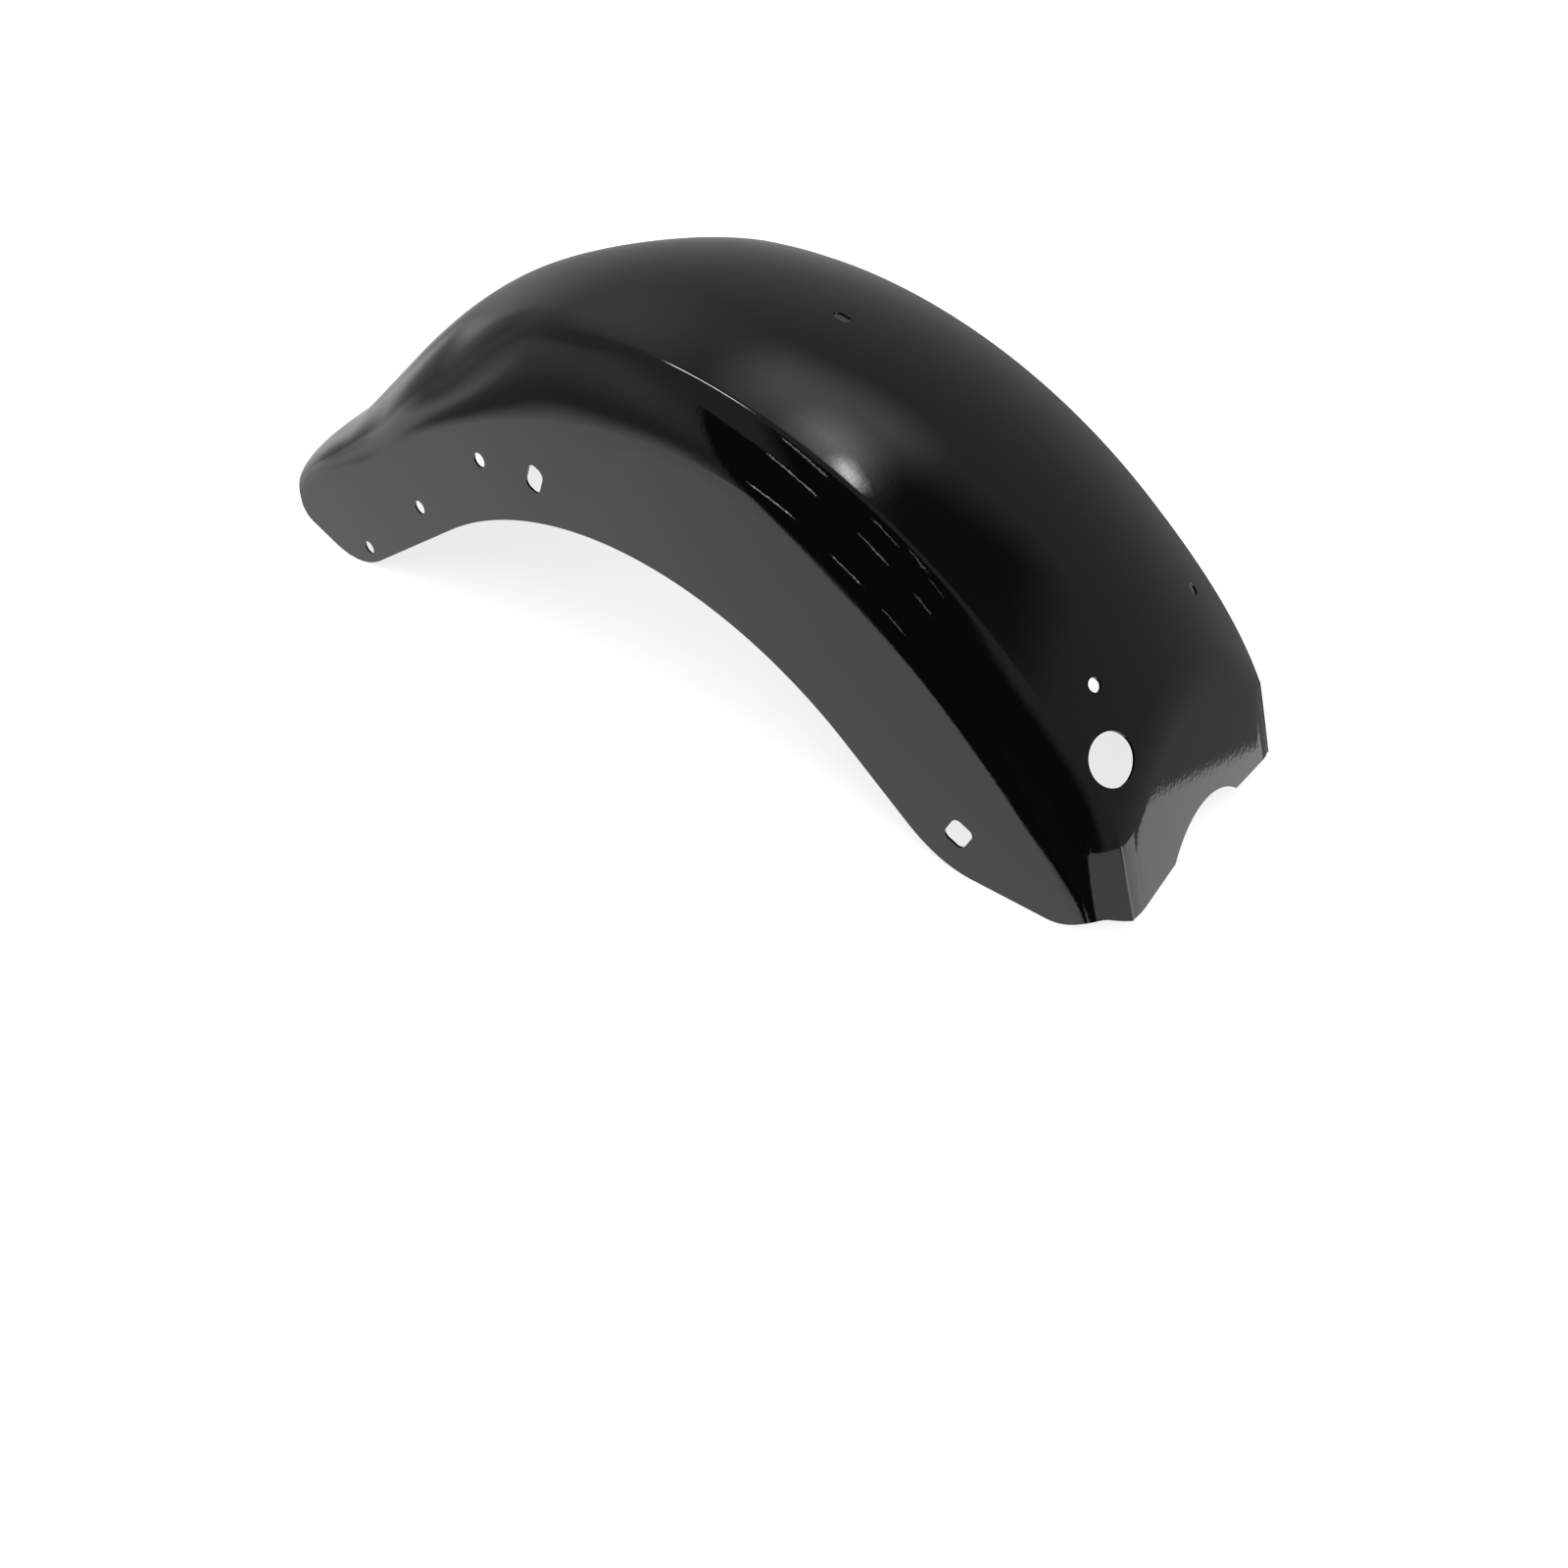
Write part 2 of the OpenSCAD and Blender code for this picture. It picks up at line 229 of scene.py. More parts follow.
angles = spread(LIP_ANGLE - FORM_MARGIN, FOLD_SPAN[0], MAIN_STEPS)
angles += spread(FOLD_SPAN[0], FOLD_SPAN[1], FOLD_STEPS)
angles += spread(FOLD_SPAN[1], TAIL_ANGLE, END_STEPS) + [TAIL_ANGLE]
crease_share = 1 - SHOULDER_SHARE
crease_start = crease_share - 2 * ROUND_SHARE
crease_end = crease_share + 2 * ROUND_SHARE
half_row = spread(0, crease_start, CROWN_STEPS)
half_row += spread(crease_start, crease_end, CREASE_STEPS)
half_row += spread(crease_end, 1, SHOULDER_STEPS)
half_row += spread(1, WALL_TOP, WALL_TOP_STEPS) + spread(WALL_TOP, 2, WALL_STEPS) + [2]
row = [-share for share in reversed(half_row[1:])] + half_row

form = bmesh.new()
bmesh.ops.create_grid(form, x_segments=len(angles) - 1, y_segments=len(row) - 1, size=0.5)
for vertex in form.verts:
    station = round((vertex.co.x + 0.5) * (len(angles) - 1))
    column = round((vertex.co.y + 0.5) * (len(row) - 1))
    vertex.co = form_point(angles[station], row[column])
bmesh.ops.remove_doubles(form, verts=form.verts, dist=MERGE_DISTANCE)
bmesh.ops.recalc_face_normals(form, faces=form.faces)
if sum(face.normal.z * face.calc_area() for face in form.faces) < 0:
    bmesh.ops.reverse_faces(form, faces=form.faces)
fender = object_of("fender_sheet", form)
bpy.context.scene.collection.objects.link(fender)

# Trim and holes: the drawn sheet is cut along its side outline, then pierced.
# Closed blocks stand for the cutting tools, and are taken away once they have cut.
ARCH_FRONT = -32.3
ARCH_TAIL = 38.1
LOBE_RADIUS = 0.062
LOBE_RISE = 22.9
FRONT_CORNER = 0.015
CORNER_REACH = 1.5
TAIL_TURN = 0.073
FOOT_RISE_LENGTH = 0.0225
FOOT_CORNER = 0.028
PANEL_EDGE_DEPTH = 0.013
FOOT_SOFTNESS = 0.002
EDGE_STEP = 0.001
CORNER_STEPS = 16
TRIM_MARGIN = 0.06


def soft_max(a, b, k):
    return -soft_min(-a, -b, k)


def softness(radius, a, b):
    a, b = math.radians(a), math.radians(b)
    reach = radius * math.tan(abs(a - b) / 2) * (math.cos(a) + math.cos(b)) / 2
    return abs(math.tan(a) - math.tan(b)) * reach


def arch_edge(x):
    turn = math.degrees(math.asin(max(-1, min(1, x / ARCH_RADIUS))))
    end = math.radians(max(ARCH_FRONT, min(ARCH_TAIL, turn)))
    return (ARCH_RADIUS - x * math.sin(end)) / math.cos(end)


back_slope = math.tan(math.radians(-ARCH_FRONT))
toe_slope = math.tan(math.radians(LOBE_RISE))
lobe_soft = softness(LOBE_RADIUS, -ARCH_FRONT, -LOBE_RISE)
lobe_lean = ((back_slope - toe_slope) / (2 * (back_slope + toe_slope))) ** 2
TOE_Z = FOOT_HEIGHT - lobe_soft * (0.25 - lobe_lean)
TOE_X = (ARCH_RADIUS - TOE_Z * math.cos(math.radians(ARCH_FRONT))) / math.sin(math.radians(ARCH_FRONT))
foot_slope = PANEL_EDGE / FOOT_RISE_LENGTH
foot_end = TAIL_REACH - PANEL_EDGE_DEPTH - FOOT_RISE_LENGTH


def lower_edge(x):
    if x < 0:
        return soft_max(arch_edge(x), TOE_Z - toe_slope * (x - TOE_X), lobe_soft)
    slope = FOOT_HEIGHT + (x - foot_end) * foot_slope
    rise = soft_min(FOOT_HEIGHT + PANEL_EDGE, slope, FOOT_SOFTNESS)
    corner = softness(FOOT_CORNER, math.degrees(math.atan(foot_slope)), 0)
    foot = soft_max(FOOT_HEIGHT, rise, corner)
    return soft_max(arch_edge(x), foot, softness(TAIL_TURN, -ARCH_TAIL, 0))


nose = Vector((-FRONT_REACH, lower_edge(-FRONT_REACH)))
edge_start = -FRONT_REACH + CORNER_REACH * FRONT_CORNER
up = Vector((0, 1))
out = (Vector((edge_start, lower_edge(edge_start))) - nose).normalized()
half_open = math.acos(out.dot(up)) / 2
corner_middle = nose + (out + up).normalized() * FRONT_CORNER / math.sin(half_open)
corner_first = nose + up * FRONT_CORNER / math.tan(half_open) - corner_middle
corner_turn = math.pi - 2 * half_open
edge_steps = math.ceil((TAIL_REACH + TRIM_MARGIN - edge_start) / EDGE_STEP)
side_view = [Vector((-FRONT_REACH, CROWN_RADIUS + TRIM_MARGIN))]
side_view += [corner_middle + Matrix.Rotation(corner_turn * i / CORNER_STEPS, 2) @ corner_first
              for i in range(CORNER_STEPS + 1)]
side_view += [Vector((edge_start + EDGE_STEP * i, lower_edge(edge_start + EDGE_STEP * i)))
              for i in range(edge_steps)]
side_view += [Vector((side_view[-1].x, CROWN_RADIUS + TRIM_MARGIN))]

PUNCH_MARGIN = 0.01
PUNCH_DEPTH = 0.03
CIRCLE_STEPS = 72
OBLONG_STEPS = 9


def block(name, outline, place, right, up, depth):
    """Closed block over a flat outline, pushed the same way out to both sides of it."""
    right, up = Vector(right), Vector(up)
    out = right.cross(up)
    shape = bmesh.new()
    corners = [shape.verts.new(Vector(place) + right * p[0] + up * p[1] - out * depth) for p in outline]
    grown = bmesh.ops.extrude_face_region(shape, geom=[shape.faces.new(corners)])["geom"]
    moved = [item for item in grown if isinstance(item, bmesh.types.BMVert)]
    bmesh.ops.translate(shape, verts=moved, vec=out * 2 * depth)
    bmesh.ops.recalc_face_normals(shape, faces=shape.faces)
    return object_of(name, shape)


def circle_outline(radius):
    turns = [math.tau * i / CIRCLE_STEPS for i in range(CIRCLE_STEPS)]
    return [(radius * math.cos(turn), radius * math.sin(turn)) for turn in turns]


def oblong_outline(length, width, corner_radius, lean):
    points = []
    for right, up, first in ((1, 1, 0), (-1, 1, 90), (-1, -1, 180), (1, -1, 270)):
        middle = Vector((right * (length / 2 - corner_radius), up * (width / 2 - corner_radius)))
        for i in range(OBLONG_STEPS + 1):
            turn = math.radians(first + 90 * i / OBLONG_STEPS)
            points.append(middle + corner_radius * Vector((math.cos(turn), math.sin(turn))))
    return [Matrix.Rotation(math.radians(lean), 2) @ point for point in points]


def wall_block(name, outline, x, z):
    """Block through both walls, placed from the axle in the side view."""
    place = (AXLE_X + x, 0, AXLE_Z + z)
    return block(name, outline, place, (1, 0, 0), (0, 0, 1), HALF_WIDTH + PUNCH_MARGIN)


def crown_block(name, outline, angle, y):
    """Block through the crown, pushed straight out from the axle."""
    turn = math.radians(angle)
    back = (math.cos(turn), 0, -math.sin(turn))
    return block(name, outline, round_axle(CROWN_RADIUS, angle, y), back, (0, 1, 0), PUNCH_DEPTH)


BRACKET_START = (0.078, 0.0173)
BRACKET_COUNT = 3
BRACKET_PITCH = 0.0942
BRACKET_RISE = 38.3
BRACKET_HOLE = 0.0049
FRONT_SLOT_PLACE = (0.2761, 0.1376)
FRONT_SLOT = (0.0178, 0.0126, 0.005)
REAR_SLOT_PLACE = (0.1022, 0.0278)
REAR_SLOT = (0.0166, 0.0142, 0.004)
SLOT_LEAN = 66
TAIL_HOLE_SETBACK = 0.035
TAIL_HOLE_SPACING = 0.113
TAIL_HOLE = 0.0039
LEAD_HOLE_SETBACK = 0.0015
LEAD_HOLE_OFFSET = 0.07
LEAD_HOLE = 0.0143
SEAT_HOLE_ANGLE = 12.7
SEAT_SLOT = (0.011, 0.007, 0.0033)
CUTOUT_WIDTH = 0.079
CUTOUT_RISE = 0.0145
CUTOUT_STEPS = 40
EDGE_BOW = 0.0038
SHARP_ANGLE = 40

trim = wall_block("trim", side_view, 0, 0)
punches = []
for i in range(BRACKET_COUNT):
    along = BRACKET_PITCH * i
    x = -FRONT_REACH + BRACKET_START[0] + along * math.cos(math.radians(BRACKET_RISE))
    z = FOOT_HEIGHT + BRACKET_START[1] + along * math.sin(math.radians(BRACKET_RISE))
    punches.append(wall_block("bracket_punch", circle_outline(BRACKET_HOLE), x, z))
punches.append(wall_block("front_slot_punch", oblong_outline(*FRONT_SLOT, SLOT_LEAN),
                          -FRONT_REACH + FRONT_SLOT_PLACE[0], FOOT_HEIGHT + FRONT_SLOT_PLACE[1]))
punches.append(wall_block("rear_slot_punch", oblong_outline(*REAR_SLOT, SLOT_LEAN),
                          TAIL_REACH - REAR_SLOT_PLACE[0], FOOT_HEIGHT + REAR_SLOT_PLACE[1]))
setback = math.degrees(TAIL_HOLE_SETBACK / CROWN_RADIUS)
for side in (-1, 1):
    punches.append(crown_block("tail_light_punch", circle_outline(TAIL_HOLE), FOLD_ANGLE - setback,
                               side * TAIL_HOLE_SPACING / 2))
setback = math.degrees(LEAD_HOLE_SETBACK / CROWN_RADIUS)
punches.append(crown_block("lead_punch", circle_outline(LEAD_HOLE), FOLD_ANGLE + setback,
                           -LEAD_HOLE_OFFSET))
punches.append(crown_block("seat_punch", oblong_outline(*SEAT_SLOT, 0), SEAT_HOLE_ANGLE, 0))

panel_foot = FOOT_HEIGHT + PANEL_EDGE
cut_side = CUTOUT_WIDTH / 2
cut_radius = (cut_side ** 2 + CUTOUT_RISE ** 2) / (2 * CUTOUT_RISE)
cut_middle = panel_foot + EDGE_BOW + CUTOUT_RISE - cut_radius
cut_fall = EDGE_BOW * (HALF_WIDTH - CREASE_Y) / (CREASE_Y - cut_side)
cut_half_open = math.asin(cut_side / cut_radius)
cut_turns = [cut_half_open * (1 - 2 * i / CUTOUT_STEPS) for i in range(1, CUTOUT_STEPS)]
panel_cut = [Vector((HALF_WIDTH, panel_foot - cut_fall)), Vector((cut_side, panel_foot + EDGE_BOW))]
panel_cut += [Vector((cut_radius * math.sin(turn), cut_middle + cut_radius * math.cos(turn)))
              for turn in cut_turns]
panel_cut += [Vector((-cut_side, panel_foot + EDGE_BOW)), Vector((-HALF_WIDTH, panel_foot - cut_fall))]
punches.append(block("panel_punch", panel_cut, (AXLE_X + TAIL_REACH, 0, AXLE_Z), (0, 1, 0), (0, 0, 1),
                     PUNCH_DEPTH))


def cut(piece, tool, operation):
    bpy.context.scene.collection.objects.link(tool)
    step = piece.modifiers.new(tool.name, "BOOLEAN")
    step.operation = operation
    step.solver = "MANIFOLD"
    step.object = tool


thickness = fender.modifiers.new("sheet", "SOLIDIFY")
thickness.thickness = SHEET
thickness.offset = -1
thickness.use_even_offset = True
cut(fender, trim, "INTERSECT")
for punch in punches:
    cut(fender, punch, "DIFFERENCE")
bpy.context.view_layer.update()
finished = fender.evaluated_get(bpy.context.evaluated_depsgraph_get())
pressed_mesh = bpy.data.meshes.new_from_object(finished)
pressed_mesh.name = "fender_pressed"
fender.modifiers.clear()
fender.data = pressed_mesh
for tool in [trim, *punches]:
    bpy.data.objects.remove(tool)
pressed_mesh.shade_smooth()
pressed_mesh.set_sharp_from_angle(angle=math.radians(SHARP_ANGLE))

# Gloss black paint, baked over primer: a thin clear skin over black that mirrors the room.
# Spraying leaves a faint fine waviness, and tint and gloss drift a little over the sheet.
PAINT_BLACK = (0.0012, 0.0012, 0.0013, 1)
PAINT_GREY = (0.0026, 0.0026, 0.0028, 1)
PAINT_IOR = 1.5
PAINT_ROUGHNESS = (0.015, 0.035)
CLOUD_SCALE = 14
CLOUD_DETAIL = 4
PEEL_SCALE = 420
PEEL_DETAIL = 1
PEEL_STRENGTH = 0.06
PEEL_DEPTH = 0.0002


def add(nodes, kind, place, **values):
    node = nodes.new(kind)
    node.location = place
    for key, value in values.items():
        setattr(node, key, value)
    return node


paint = bpy.data.materials.new("gloss black paint")
paint.use_nodes = True
nodes = paint.node_tree.nodes
links = paint.node_tree.links
skin = nodes["Principled BSDF"]
paint_place = add(nodes, "ShaderNodeTexCoord", (-1000, 0))
cloud = add(nodes, "ShaderNodeTexNoise", (-760, 200))
cloud.inputs["Scale"].default_value = CLOUD_SCALE
cloud.inputs["Detail"].default_value = CLOUD_DETAIL
shade = add(nodes, "ShaderNodeMix", (-480, 260), data_type="RGBA")
shade.inputs["A"].default_value = PAINT_BLACK
shade.inputs["B"].default_value = PAINT_GREY
peel = add(nodes, "ShaderNodeTexNoise", (-760, -200))
peel.inputs["Scale"].default_value = PEEL_SCALE
peel.inputs["Detail"].default_value = PEEL_DETAIL
wave = add(nodes, "ShaderNodeBump", (-300, -220))
wave.inputs["Strength"].default_value = PEEL_STRENGTH
wave.inputs["Distance"].default_value = PEEL_DEPTH
rough = add(nodes, "ShaderNodeMapRange", (-480, 20))
rough.inputs["To Min"].default_value = PAINT_ROUGHNESS[0]
rough.inputs["To Max"].default_value = PAINT_ROUGHNESS[1]
links.new(paint_place.outputs["Object"], cloud.inputs["Vector"])
links.new(paint_place.outputs["Object"], peel.inputs["Vector"])
links.new(cloud.outputs["Fac"], shade.inputs["Factor"])
links.new(cloud.outputs["Fac"], rough.inputs["Value"])
links.new(peel.outputs["Fac"], wave.inputs["Height"])
links.new(shade.outputs["Result"], skin.inputs["Base Color"])
links.new(rough.outputs["Result"], skin.inputs["Roughness"])
links.new(wave.outputs["Normal"], skin.inputs["Normal"])
skin.inputs["IOR"].default_value = PAINT_IOR
pressed_mesh.materials.clear()
pressed_mesh.materials.append(paint)
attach(fender, "root")
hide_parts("fender")

# Floor: a plain matt white sheet that keeps the fender's soft shadow.
# It and the world behind it are whiter where the camera, a mirror or glass looks at them.
FLOOR_SIZE = 200
FLOOR_WHITE = (0.42, 0.42, 0.42, 1)
FLOOR_ROUGHNESS = 0.9
FLOOR_GLOW = 0.78
WORLD_LEVELS = (0.7, 1.0)


def looked_at(nodes, links):
    """Mask of what the camera, a mirror or glass looks at."""
    path = add(nodes, "ShaderNodeLightPath", (-900, -200))
    either = add(nodes, "ShaderNodeMath", (-700, -200), operation="MAXIMUM")
    any_view = add(nodes, "ShaderNodeMath", (-500, -200), operation="MAXIMUM")
    links.new(path.outputs["Is Camera Ray"], either.inputs[0])
    links.new(path.outputs["Is Transmission Ray"], either.inputs[1])
    links.new(either.outputs["Value"], any_view.inputs[0])
    links.new(path.outputs["Is Glossy Ray"], any_view.inputs[1])
    return any_view.outputs["Value"]


floor_shape = bmesh.new()
bmesh.ops.create_grid(floor_shape, x_segments=1, y_segments=1, size=FLOOR_SIZE / 2)
floor = object_of("floor", floor_shape)
bpy.context.scene.collection.objects.link(floor)
floor_paint = bpy.data.materials.new("white sheet")
floor_paint.use_nodes = True
sheet_nodes = floor_paint.node_tree.nodes
sheet_links = floor_paint.node_tree.links
matt = sheet_nodes["Principled BSDF"]
matt.inputs["Base Color"].default_value = FLOOR_WHITE
matt.inputs["Roughness"].default_value = FLOOR_ROUGHNESS
matt.inputs["Specular IOR Level"].default_value = 0
matt.inputs["Emission Color"].default_value = (1, 1, 1, 1)
whiten = add(sheet_nodes, "ShaderNodeMath", (-300, -200), operation="MULTIPLY")
whiten.inputs[1].default_value = FLOOR_GLOW
sheet_links.new(looked_at(sheet_nodes, sheet_links), whiten.inputs[0])
sheet_links.new(whiten.outputs["Value"], matt.inputs["Emission Strength"])
floor.data.materials.append(floor_paint)
floor.visible_glossy = False

world = bpy.data.worlds.new("studio")
bpy.context.scene.world = world
world.use_nodes = True
sky = world.node_tree.nodes
sky_links = world.node_tree.links
sky["Background"].inputs["Color"].default_value = (1, 1, 1, 1)
level = add(sky, "ShaderNodeMapRange", (-300, -200))
level.inputs["To Min"].default_value = WORLD_LEVELS[0]
level.inputs["To Max"].default_value = WORLD_LEVELS[1]
sky_links.new(looked_at(sky, sky_links), level.inputs["Value"])
sky_links.new(level.outputs["Result"], sky["Background"].inputs["Strength"])

# The room as the paint mirrors it: a large round shell that only mirror images show.
# Cards of light and dark stand on it, in degrees as seen from the fender. A later one covers an earlier.
ROOM_RADIUS = 60
ROOM_SUBDIVISIONS = 5
ROOM_LEVEL = 0.3
GROUND_LEVEL = 1.3
GROUND_EDGE = (-20.1, -19.7)
# Cards: azimuth, elevation, turn, half width, half height, softness, level
CARDS = (
    ("ceiling", -165, 69, 0, 14, 9, 8, 1.15),
    ("ceiling_glow", 172, 77, 0, 7, 4.5, 6, 3),
    ("dark_corner", 116, 60, 0, 15, 17, 8, 0.05),
    ("ceiling_lamp", 146, 79.6, 0, 2.8, 1.4, 2.4, 13),
    ("crease_lamp", -45, 55.5, 41, 8, 4, 2.5, 22),
    ("front_wall", -96, 46, 0, 22, 12, 10, 0.5),
    ("front_floor", -117, -24, 0, 9, 10, 5, 0.55),
    ("front_sheet", -98, -21.5, 0, 16, 18, 4, 0.7),
    ("front_dark_wall", -101, 7, 0, 13, 6, 6, 0.2),
    ("left_wall", -54, 4, 0, 18, 7, 6, 0.5),
    ("left_dark_wall", -46, -13, 0, 12, 5, 4, 0.22),
    ("front_sheet_side", -75, -14, 0, 13, 13, 4, 0.95),
    ("black_curtain", -16, -13, 0, 17, 25, 0.9, 0.02),
    ("black_curtain_top", -4, 17, 0, 15.5, 11, 3, 0.02),
    ("black_curtain_foot", -4, -12, 35, 24, 17, 4, 0.02),
    ("tail_sheet_left", 40, -24, 0, 24, 6.5, 0.5, 1.1),
    ("tail_sheet", 124, -22, 0, 9.5, 5, 0.5, 1.5),
    ("tail_black_curtain", 4, -27, 0, 11, 7, 1.2, 0.03),
    ("tail_dark_wall", 159, -24, 0, 8.5, 6, 1.5, 0.3),
    ("left_sheet", -52, -34, 0, 14, 16.5, 4.5, 1.2),
    ("left_sheet_front", -68, -33, 0, 10, 15.5, 6, 0.95),
    ("left_sheet_tail", -36.7, -43.6, -42, 18, 10, 0.9, 1.25),
)
# Ceiling lamps, seen as thin streaks: azimuth, elevation, turn, half length, level
SPOTS = (
    (-15, 23.5, -25, 3.3, 4.5), (-3, 18, -35, 2, 2), (2.5, 18, -60, 1.5, 2.4), (4, 13.5, -60, 1.2, 0.9),
    (-19, 9.7, -30, 3.1, 5.5), (-9.5, 5, -45, 2, 3), (-4, 0.5, -60, 1.1, 2),
    (-28.5, -13, -10, 1.9, 7.5), (-23.5, -18, -35, 1.2, 5), (-20.5, -21.5, -45, 0.9, 2.5),
)
SPOT_HALF_HEIGHT = 0.3
SPOT_SOFTNESS = 0.3

card_group = bpy.data.node_groups.new("studio card", "ShaderNodeTree")
for name, kind in (("Direction", "NodeSocketVector"), ("Facing", "NodeSocketVector"),
                   ("Right", "NodeSocketVector"), ("Up", "NodeSocketVector"),
                   ("Half Width", "NodeSocketFloat"), ("Half Height", "NodeSocketFloat"),
                   ("Softness", "NodeSocketFloat")):
    card_group.interface.new_socket(name, in_out="INPUT", socket_type=kind)
card_group.interface.new_socket("Mask", in_out="OUTPUT", socket_type="NodeSocketFloat")
group_nodes = card_group.nodes
group_links = card_group.links
group_in = add(group_nodes, "NodeGroupInput", (-900, 0))
group_out = add(group_nodes, "NodeGroupOutput", (900, 0))
dots = []
for i, name in enumerate(("Facing", "Right", "Up")):
    dot = add(group_nodes, "ShaderNodeVectorMath", (-660, 200 - 200 * i), operation="DOT_PRODUCT")
    group_links.new(group_in.outputs["Direction"], dot.inputs[0])
    group_links.new(group_in.outputs[name], dot.inputs[1])
    dots.append(dot)
sideways = add(group_nodes, "ShaderNodeMath", (-440, 100), operation="ARCTAN2")
upward = add(group_nodes, "ShaderNodeMath", (-440, -200), operation="ARCSINE")
group_links.new(dots[1].outputs["Value"], sideways.inputs[0])
group_links.new(dots[0].outputs["Value"], sideways.inputs[1])
group_links.new(dots[2].outputs["Value"], upward.inputs[0])
masks = []
for i, (turn, size) in enumerate(((sideways, "Half Width"), (upward, "Half Height"))):
    degrees = add(group_nodes, "ShaderNodeMath", (-220, 100 - 300 * i), operation="DEGREES")
    size_of = add(group_nodes, "ShaderNodeMath", (-20, 100 - 300 * i), operation="ABSOLUTE")
    inside = add(group_nodes, "ShaderNodeMath", (180, 100 - 300 * i), operation="SUBTRACT")
    shared = add(group_nodes, "ShaderNodeMath", (380, 100 - 300 * i), operation="DIVIDE")
    fade = add(group_nodes, "ShaderNodeMapRange", (560, 100 - 300 * i), interpolation_type="SMOOTHSTEP")
    fade.inputs["From Min"].default_value = -1
    fade.inputs["From Max"].default_value = 1
    group_links.new(turn.outputs["Value"], degrees.inputs[0])
    group_links.new(degrees.outputs["Value"], size_of.inputs[0])
    group_links.new(group_in.outputs[size], inside.inputs[0])
    group_links.new(size_of.outputs["Value"], inside.inputs[1])
    group_links.new(inside.outputs["Value"], shared.inputs[0])
    group_links.new(group_in.outputs["Softness"], shared.inputs[1])
    group_links.new(shared.outputs["Value"], fade.inputs["Value"])
    masks.append(fade)
both = add(group_nodes, "ShaderNodeMath", (740, 0), operation="MULTIPLY")
group_links.new(masks[0].outputs["Result"], both.inputs[0])
group_links.new(masks[1].outputs["Result"], both.inputs[1])
group_links.new(both.outputs["Value"], group_out.inputs["Mask"])

room = bpy.data.materials.new("room seen in the paint")
room.use_nodes = True
room_nodes = room.node_tree.nodes
room_links = room.node_tree.links
room_nodes.clear()
room_place = add(room_nodes, "ShaderNodeTexCoord", (-1400, 0))
way = add(room_nodes, "ShaderNodeVectorMath", (-1200, 0), operation="NORMALIZE")
room_links.new(room_place.outputs["Object"], way.inputs[0])
height = add(room_nodes, "ShaderNodeSeparateXYZ", (-1000, 200))
room_links.new(way.outputs["Vector"], height.inputs["Vector"])


def ways(azimuth, elevation, turn):
    """Directions that a card faces, and of its right and its upper edge, seen from the fender."""
    a, e = math.radians(azimuth), math.radians(elevation)
    facing = Vector((math.cos(e) * math.sin(a), -math.cos(e) * math.cos(a), math.sin(e)))
    right = Vector((math.cos(a), math.sin(a), 0))
    up = Vector((-math.sin(e) * math.sin(a), math.sin(e) * math.cos(a), math.cos(e)))
    c, s = math.cos(math.radians(turn)), math.sin(math.radians(turn))
    return facing, c * right + s * up, c * up - s * right


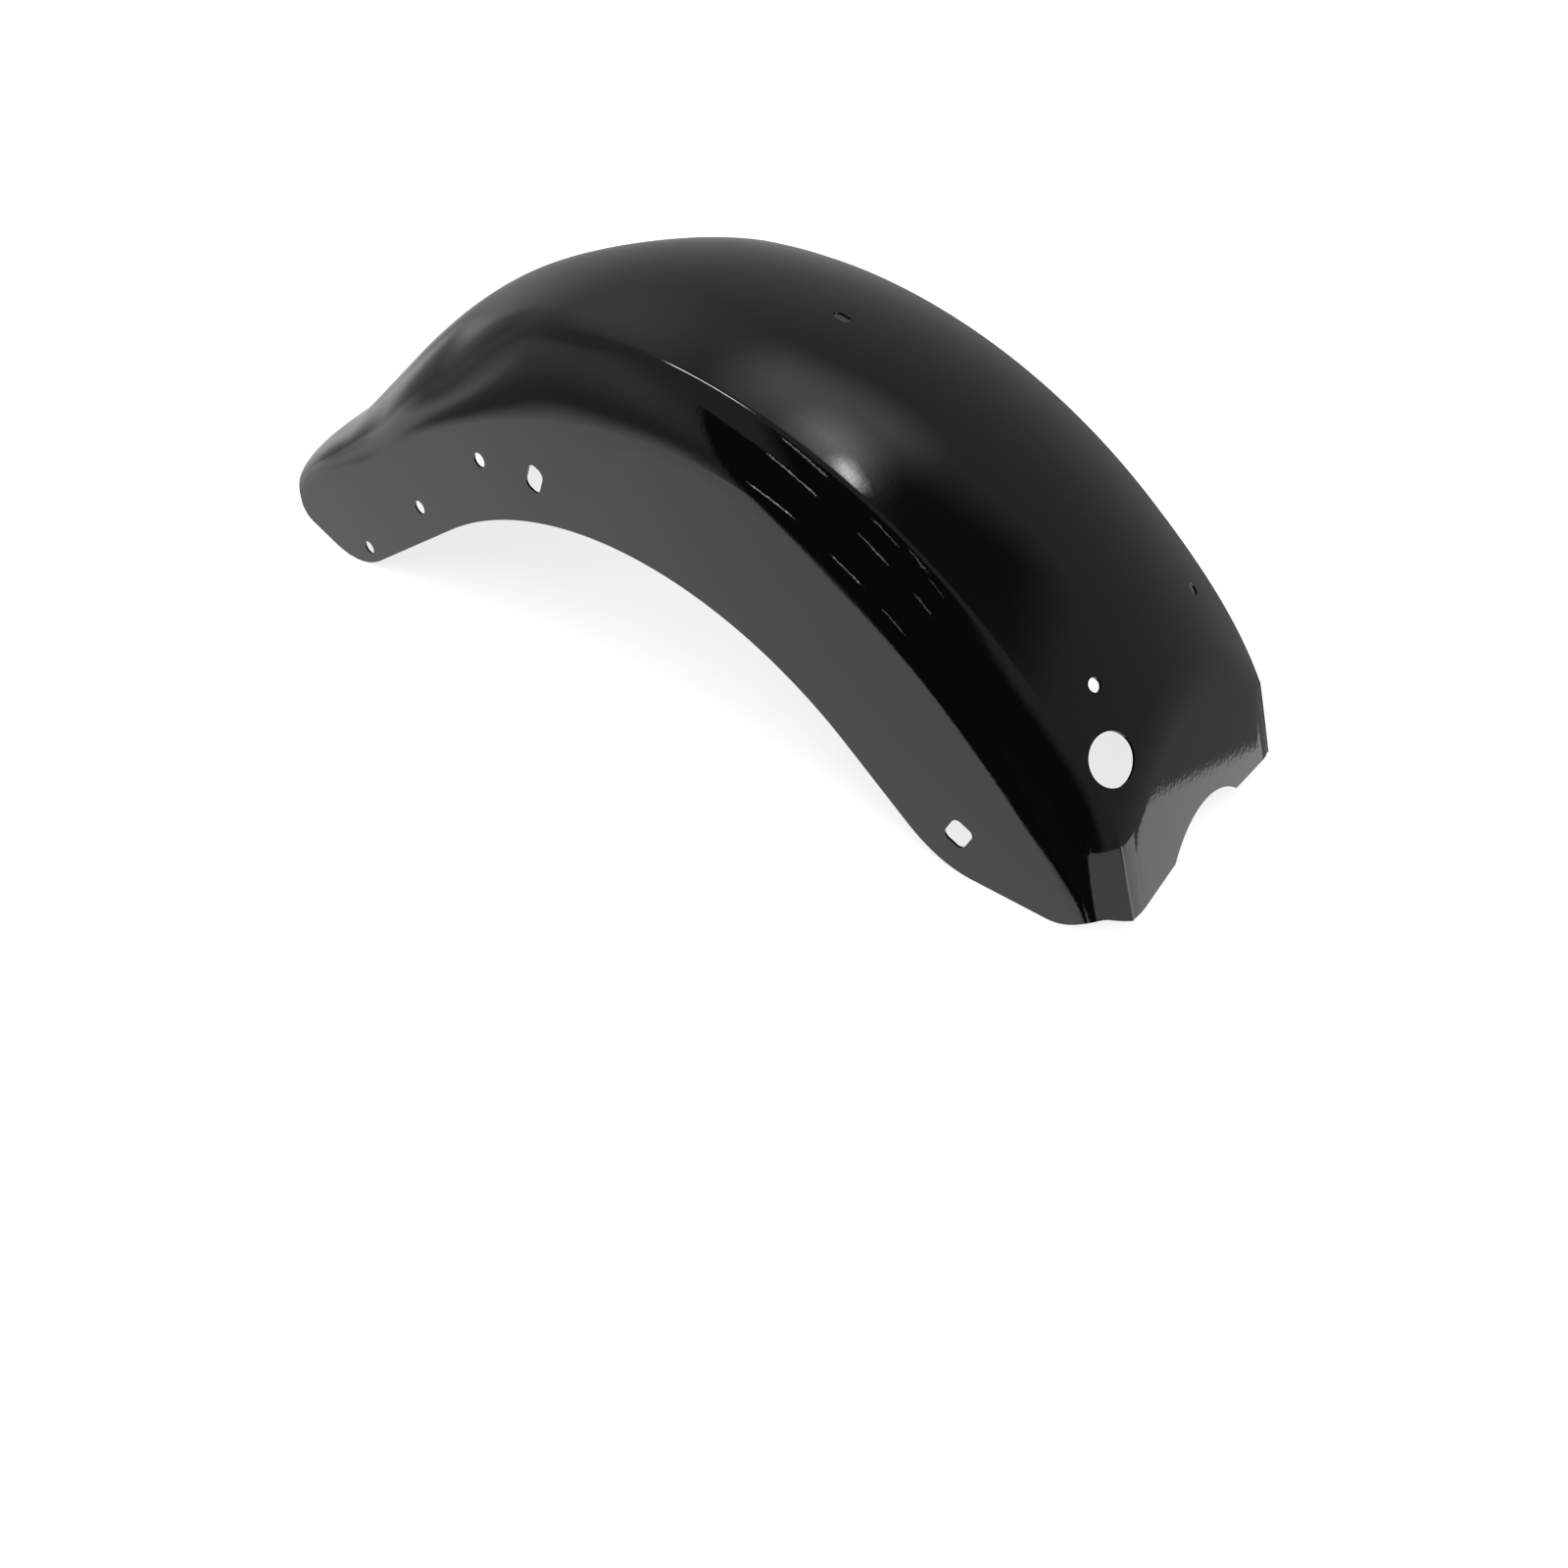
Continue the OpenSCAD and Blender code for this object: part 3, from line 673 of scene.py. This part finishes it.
column = -800
ground = add(room_nodes, "ShaderNodeMapRange", (column, 0), interpolation_type="SMOOTHSTEP")
ground.inputs["From Min"].default_value = math.sin(math.radians(GROUND_EDGE[0]))
ground.inputs["From Max"].default_value = math.sin(math.radians(GROUND_EDGE[1]))
ground.inputs["To Min"].default_value = GROUND_LEVEL
ground.inputs["To Max"].default_value = ROOM_LEVEL
room_links.new(height.outputs["Z"], ground.inputs["Value"])
light = ground.outputs["Result"]
cards = list(CARDS)
for azimuth, elevation, turn, half_length, spot_level in SPOTS:
    cards.append(("lamp", azimuth, elevation, turn, half_length, SPOT_HALF_HEIGHT, SPOT_SOFTNESS,
                  spot_level))
for name, azimuth, elevation, turn, half_width, half_height, softness_of, level_of in cards:
    column += 200
    card = add(room_nodes, "ShaderNodeGroup", (column, 300), node_tree=card_group, label=name)
    room_links.new(way.outputs["Vector"], card.inputs["Direction"])
    for socket, value in zip(("Facing", "Right", "Up"), ways(azimuth, elevation, turn)):
        card.inputs[socket].default_value = value
    card.inputs["Half Width"].default_value = half_width
    card.inputs["Half Height"].default_value = half_height
    card.inputs["Softness"].default_value = softness_of
    over = add(room_nodes, "ShaderNodeMix", (column, 0), data_type="FLOAT")
    room_links.new(card.outputs["Mask"], over.inputs["Factor"])
    room_links.new(light, over.inputs["A"])
    over.inputs["B"].default_value = level_of
    light = over.outputs["Result"]
glow = add(room_nodes, "ShaderNodeEmission", (column + 200, 0))
room_out = add(room_nodes, "ShaderNodeOutputMaterial", (column + 400, 0))
room_links.new(light, glow.inputs["Strength"])
room_links.new(glow.outputs["Emission"], room_out.inputs["Surface"])
room_shape = bmesh.new()
bmesh.ops.create_icosphere(room_shape, subdivisions=ROOM_SUBDIVISIONS, radius=ROOM_RADIUS)
bmesh.ops.reverse_faces(room_shape, faces=room_shape.faces)
shell = object_of("room", room_shape)
shell.data.materials.append(room)
bpy.context.scene.collection.objects.link(shell)
for kind in ("camera", "diffuse", "transmission", "volume_scatter", "shadow"):
    setattr(shell, "visible_" + kind, False)

# Lamps: two large soft boxes overhead light the floor and the inside of the sheet.
# Mirrors don't show them, because the room's cards already stand for what the paint mirrors.
# Each one: name, place in metres, size in metres, power in watts
LAMPS = (("key_lamp", (1.2, -1.6, 2.6), 2.2, 38), ("fill_lamp", (-1.8, 1.2, 2.8), 2.6, 26))
for name, lamp_place, lamp_size, power in LAMPS:
    lamp_data = bpy.data.lights.new(name, "AREA")
    lamp_data.size = lamp_size
    lamp_data.energy = power
    lamp = bpy.data.objects.new(name, lamp_data)
    lamp.location = lamp_place
    lamp.rotation_euler = (-Vector(lamp_place)).to_track_quat("-Z", "Y").to_euler()
    lamp.visible_glossy = False
    bpy.context.scene.collection.objects.link(lamp)
